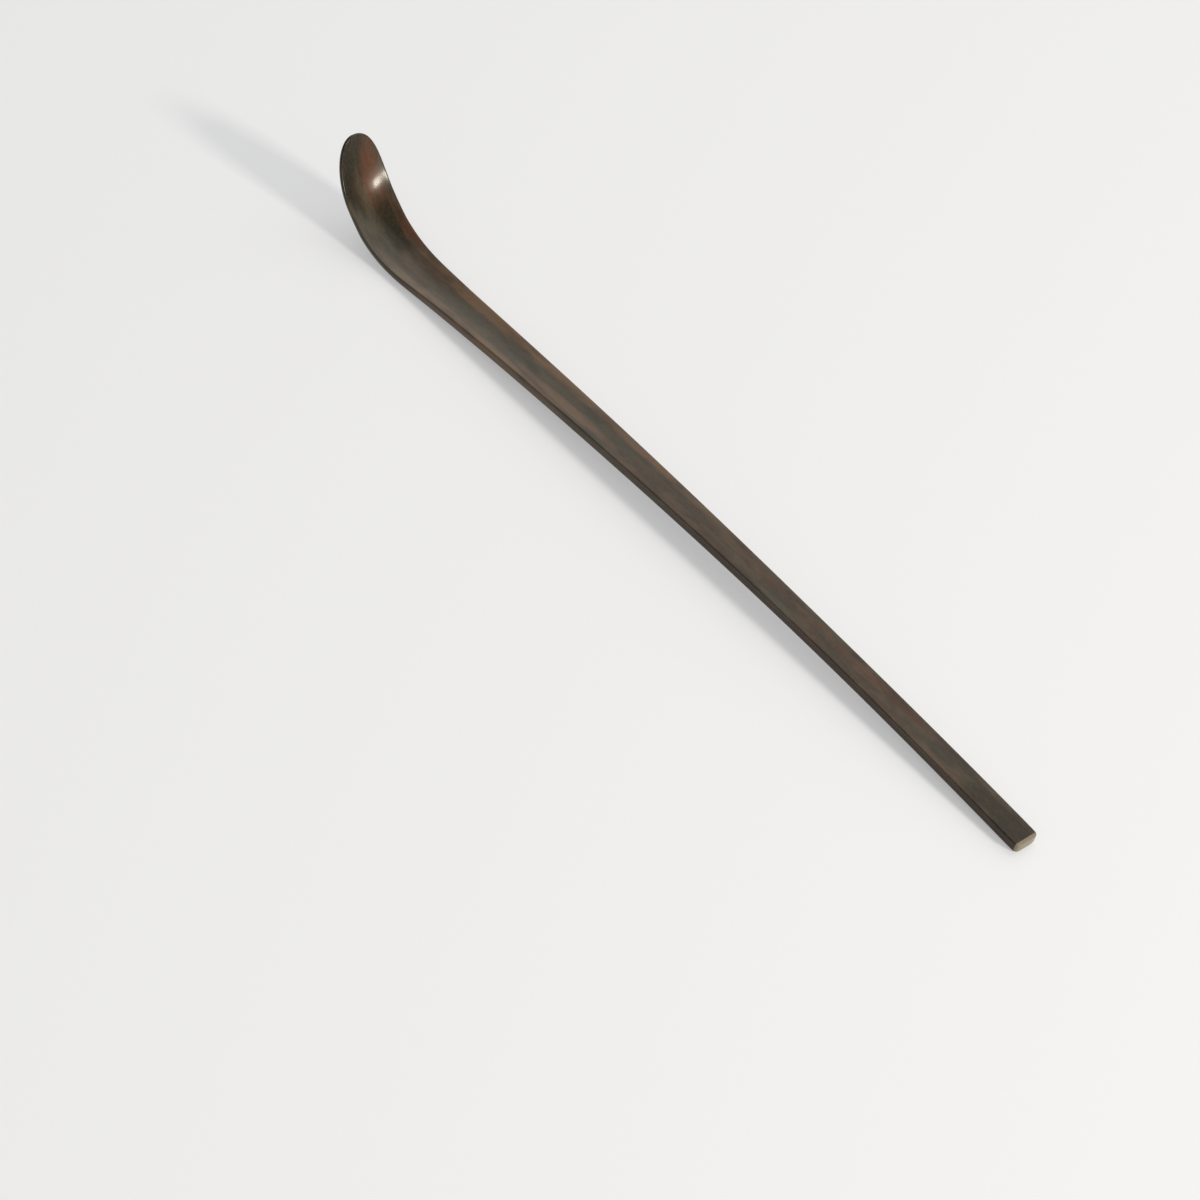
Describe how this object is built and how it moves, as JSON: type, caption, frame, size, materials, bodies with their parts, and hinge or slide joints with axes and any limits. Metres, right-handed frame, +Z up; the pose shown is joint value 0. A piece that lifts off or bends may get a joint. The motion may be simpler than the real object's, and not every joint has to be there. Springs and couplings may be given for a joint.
{
  "type": "tea scoop",
  "caption": "Slender one-piece wooden scoop: a rounded, hollowed and upturned bowl running through a shallow trough into a gently arched bar handle with a square-cut butt.",
  "frame": {"origin": "on the table, under the middle of the scoop's bounding box, with the bowl facing up", "axes": "+X along the stick from the tip of the bowl to the butt, +Z up out of the bowl, +Y across"},
  "size_m": [0.178, 0.01, 0.0178],
  "materials": {
    "dark_wood": "satin"
  },
  "bodies": {
    "root": {"tea_scoop": "dark_wood"}
  },
  "joints": []
}
